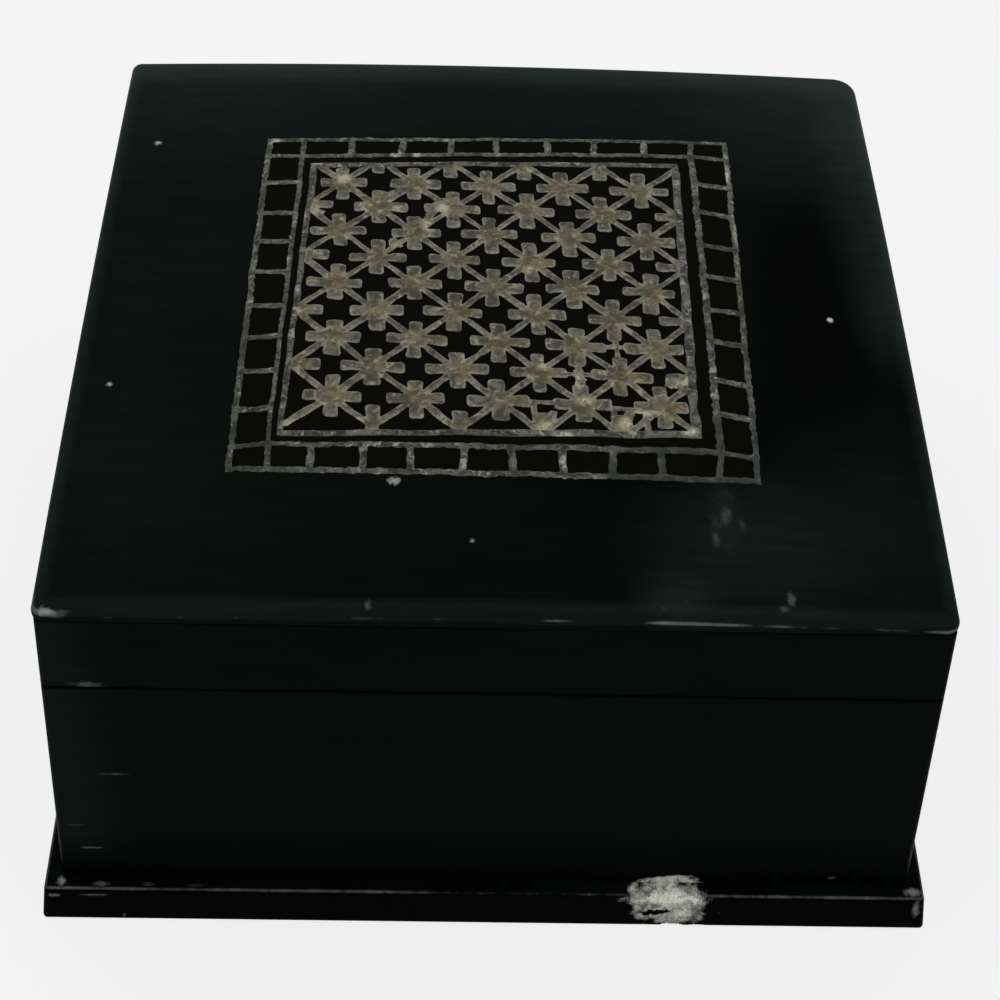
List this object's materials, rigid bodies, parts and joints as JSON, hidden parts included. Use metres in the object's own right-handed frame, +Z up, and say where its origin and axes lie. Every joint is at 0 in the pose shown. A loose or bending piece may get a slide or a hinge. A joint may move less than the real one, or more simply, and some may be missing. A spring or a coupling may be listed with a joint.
{
  "type": "trinket box",
  "caption": "Small square lacquered box with outward-leaning sides, a plinth base and a hinged, gently domed lid inlaid with a star lattice.",
  "frame": {"origin": "middle of the base board's underside, on the surface the box stands on", "axes": "+Z up, -Y to the front, +Y to the hinged back, +X to the viewer's right"},
  "size_m": [0.1518, 0.1518, 0.0774],
  "materials": {
    "black_lacquer": "semi-gloss black lacquer over wood, hazy and worn at the arrises",
    "inlay_ground": "deeper satin black ground",
    "inlay_lines": "dull tarnished pale metal, grey to straw, thin",
    "lining": "dark red felt",
    "hinge_brass": "aged brass",
    "pin_steel": "plain steel"
  },
  "bodies": {
    "box": {"plinth_board": "black_lacquer", "base_brads": "pin_steel", "front_wall": "black_lacquer", "back_wall": "black_lacquer", "left_wall": "black_lacquer", "right_wall": "black_lacquer", "floor_lining": "lining", "left_hinge_box_leaf": "hinge_brass", "right_hinge_box_leaf": "hinge_brass", "left_hinge_pin": "hinge_brass", "right_hinge_pin": "hinge_brass", "box_leaf_screws": "hinge_brass"},
    "lid": {"lid_panel": "black_lacquer", "lid_front_rail": "black_lacquer", "lid_back_rail": "black_lacquer", "lid_left_rail": "black_lacquer", "lid_right_rail": "black_lacquer", "lid_lining": "lining", "inlay_ground": "inlay_ground", "star_lattice": "inlay_lines", "inner_frame": "inlay_lines", "ladder_border": "inlay_lines", "left_hinge_lid_leaf": "hinge_brass", "right_hinge_lid_leaf": "hinge_brass", "lid_leaf_screws": "hinge_brass"}
  },
  "joints": [
    {"name": "lid_hinge", "type": "hinge", "parent": "box", "child": "lid", "pos_m": [0, 0.0694, 0.0567], "axis": [-1, 0, 0], "range_deg": [0, 98]}
  ]
}
